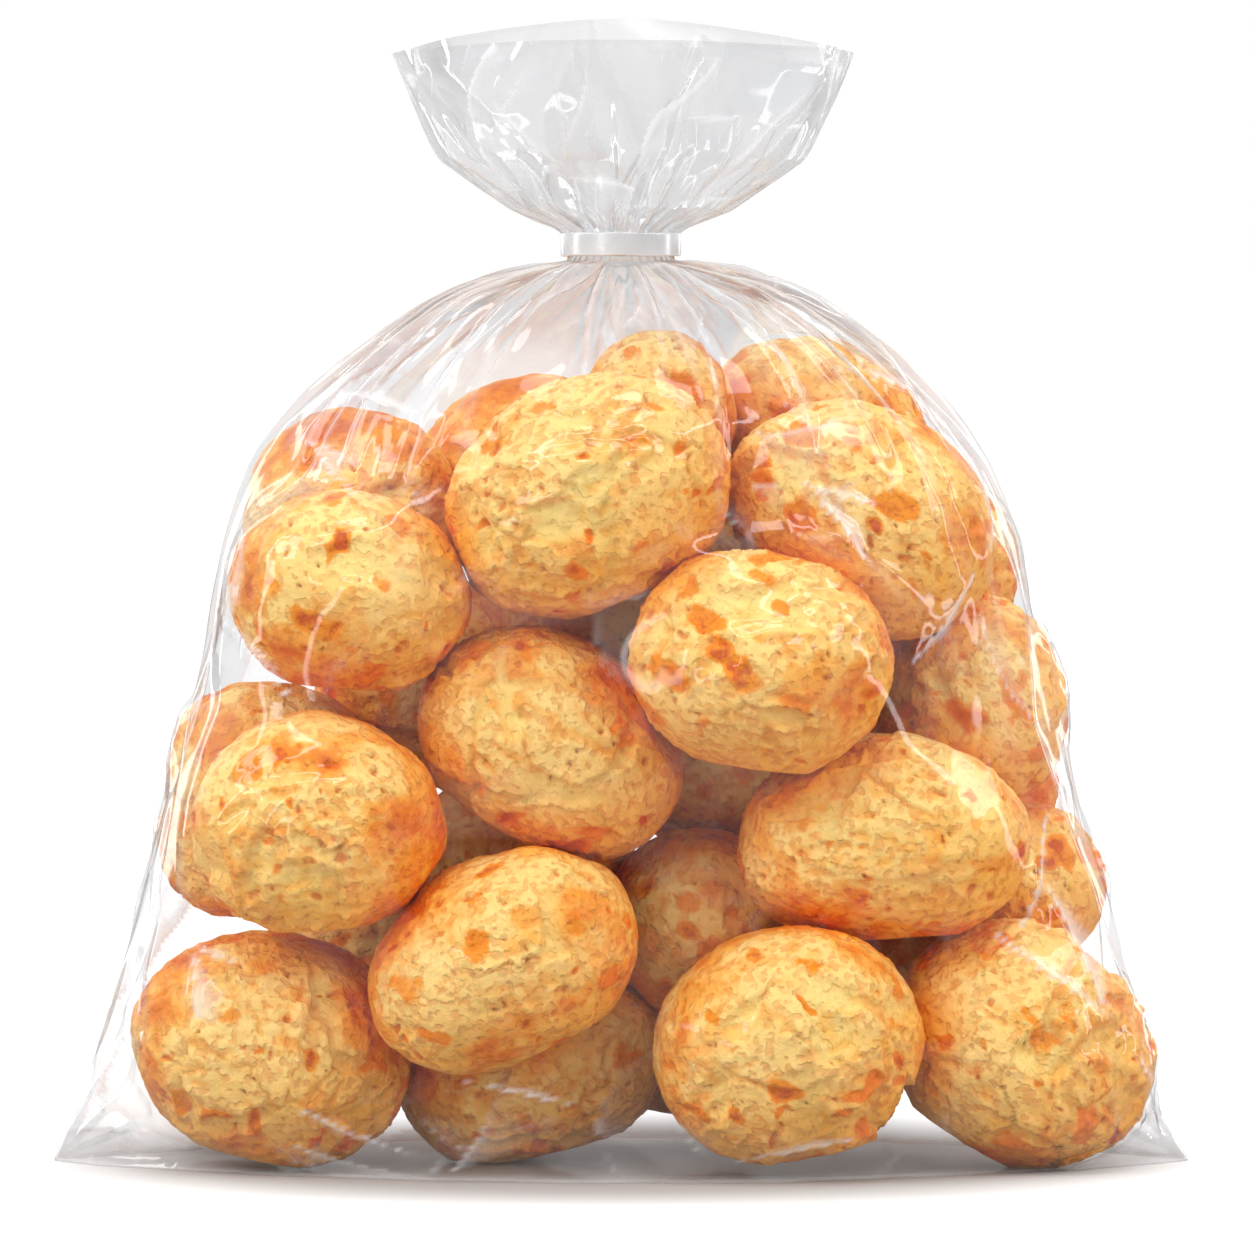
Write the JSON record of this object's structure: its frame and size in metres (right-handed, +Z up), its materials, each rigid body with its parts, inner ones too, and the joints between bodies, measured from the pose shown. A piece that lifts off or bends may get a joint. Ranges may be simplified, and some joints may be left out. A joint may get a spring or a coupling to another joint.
{
  "type": "clear bag of pao de queijo cheese balls",
  "caption": "Clear film bag of baked cheese bread balls, gathered at the neck by a flat band, with an open ruffle above and flat bottom corners.",
  "frame": {"origin": "on the surface that the bag stands on, under the middle of the bag", "axes": "+Z up, front of the bag towards -Y, the two bottom corners along X"},
  "size_m": [0.226, 0.114, 0.2247],
  "materials": {
    "baked_crust": "satin",
    "clear_film": "gloss",
    "neck_band": "gloss"
  },
  "bodies": {
    "root": {"filled_bag": "baked_crust", "neck_band": "neck_band"}
  },
  "joints": []
}
